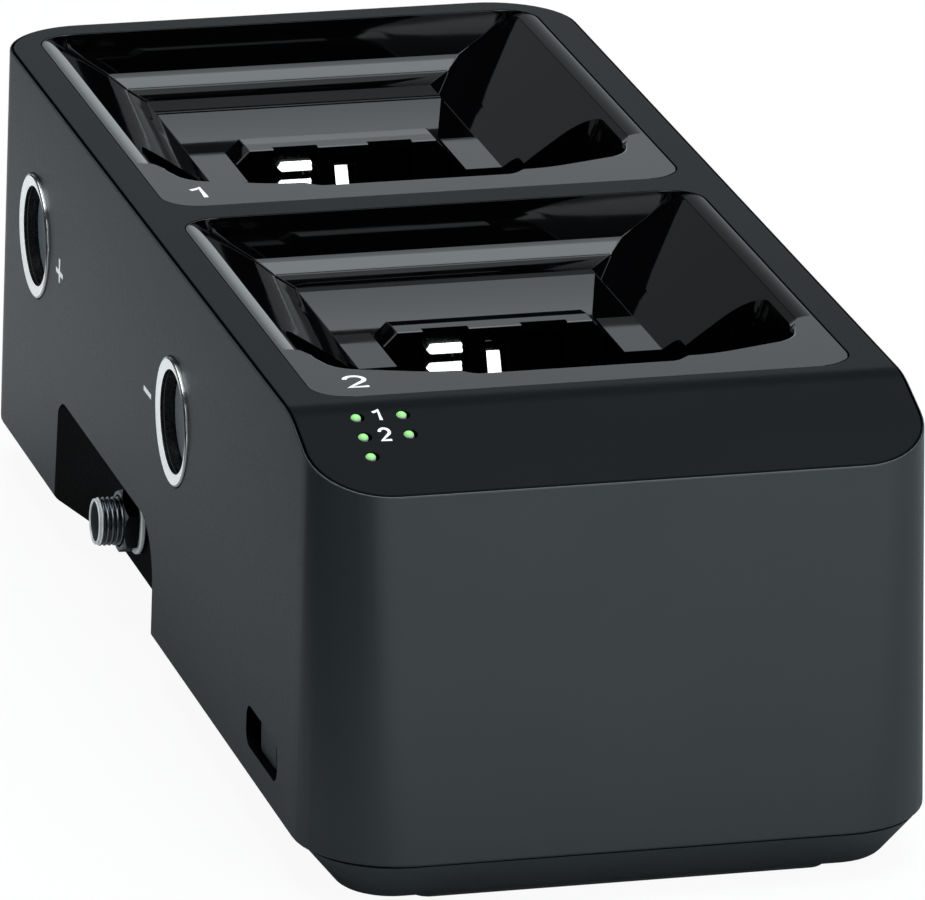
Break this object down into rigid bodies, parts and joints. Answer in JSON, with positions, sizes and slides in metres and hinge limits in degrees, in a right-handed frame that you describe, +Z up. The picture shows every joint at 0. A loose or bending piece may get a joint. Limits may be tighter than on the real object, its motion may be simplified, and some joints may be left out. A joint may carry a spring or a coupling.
{
  "type": "docking charger",
  "caption": "Long low desktop docking charger with open bays in its top for wireless bodypack transmitters, sprung contacts in each bay, link sockets and a threaded supply jack at the side.",
  "frame": {"origin": "on the floor under the middle of the case", "axes": "+X to the right, away from the supply jack; +Y to the rear, from the sloping front with the status lights to the plain end; +Z up"},
  "size_m": [0.1015, 0.2344, 0.0725],
  "materials": {
    "case_grey": "satin moulded plastic, dark slate grey",
    "bezel_grey": "satin moulded plastic, darker grey",
    "gloss_black": "polished black moulding",
    "matt_black": "plain black moulding",
    "rubber": "soft grey rubber",
    "nickel": "bright nickel plate",
    "steel": "zinc-plated steel",
    "board": "glass-fibre circuit board with green mask",
    "ferrite": "dull sintered ferrite",
    "can": "drawn aluminium can",
    "light_green": "clear light guide, lit green"
  },
  "bodies": {
    "charger": {"base_screw_1": "steel", "base_screw_2": "steel", "base_screw_3": "steel", "base_screw_4": "steel", "base_tray": "matt_black", "bay_1_contact_block": "matt_black", "bay_1_well": "gloss_black", "bay_2_contact_block": "matt_black", "bay_2_well": "gloss_black", "board_screw_1": "steel", "board_screw_2": "steel", "board_screw_3": "steel", "board_screw_4": "steel", "capacitor_1": "can", "capacitor_2": "can", "case_shell": "case_grey", "charge_coil_1": "ferrite", "charge_coil_2": "ferrite", "front_foot_strip": "rubber", "jack_body": "matt_black", "jack_bushing": "nickel", "jack_nut": "nickel", "jack_pin": "nickel", "jack_washer": "nickel", "light_board": "board", "light_pipe_1": "light_green", "light_pipe_2": "light_green", "light_pipe_3": "light_green", "light_pipe_4": "light_green", "light_pipe_5": "light_green", "link_cup_1": "matt_black", "link_cup_2": "matt_black", "link_disc_1": "steel", "link_disc_2": "steel", "link_pad_1": "nickel", "link_pad_2": "nickel", "link_ring_1": "nickel", "link_ring_2": "nickel", "main_board": "board", "rear_foot_strip": "rubber", "switch_body": "matt_black", "top_bezel": "bezel_grey"},
    "bay_1_blade_contact": {"bay_1_blade_contact": "nickel"},
    "bay_1_lower_contact": {"bay_1_lower_contact": "nickel"},
    "bay_1_upper_contact": {"bay_1_upper_contact": "nickel"},
    "bay_2_blade_contact": {"bay_2_blade_contact": "nickel"},
    "bay_2_lower_contact": {"bay_2_lower_contact": "nickel"},
    "bay_2_upper_contact": {"bay_2_upper_contact": "nickel"},
    "switch_slider": {"switch_slider": "case_grey"}
  },
  "joints": [
    {"name": "bay_1_blade_press", "type": "slide", "parent": "charger", "child": "bay_1_blade_contact", "axis": [0, 1, 0], "range_m": [0, 0.001], "stiffness_N_per_m": 400},
    {"name": "bay_1_lower_press", "type": "slide", "parent": "charger", "child": "bay_1_lower_contact", "axis": [0, 1, 0], "range_m": [0, 0.001], "stiffness_N_per_m": 400},
    {"name": "bay_1_upper_press", "type": "slide", "parent": "charger", "child": "bay_1_upper_contact", "axis": [0, 1, 0], "range_m": [0, 0.001], "stiffness_N_per_m": 400},
    {"name": "bay_2_blade_press", "type": "slide", "parent": "charger", "child": "bay_2_blade_contact", "axis": [0, 1, 0], "range_m": [0, 0.001], "stiffness_N_per_m": 400},
    {"name": "bay_2_lower_press", "type": "slide", "parent": "charger", "child": "bay_2_lower_contact", "axis": [0, 1, 0], "range_m": [0, 0.001], "stiffness_N_per_m": 400},
    {"name": "bay_2_upper_press", "type": "slide", "parent": "charger", "child": "bay_2_upper_contact", "axis": [0, 1, 0], "range_m": [0, 0.001], "stiffness_N_per_m": 400},
    {"name": "switch_slide", "type": "slide", "parent": "charger", "child": "switch_slider", "axis": [0, 1, 0], "range_m": [-0.0027, 0.0027]}
  ]
}
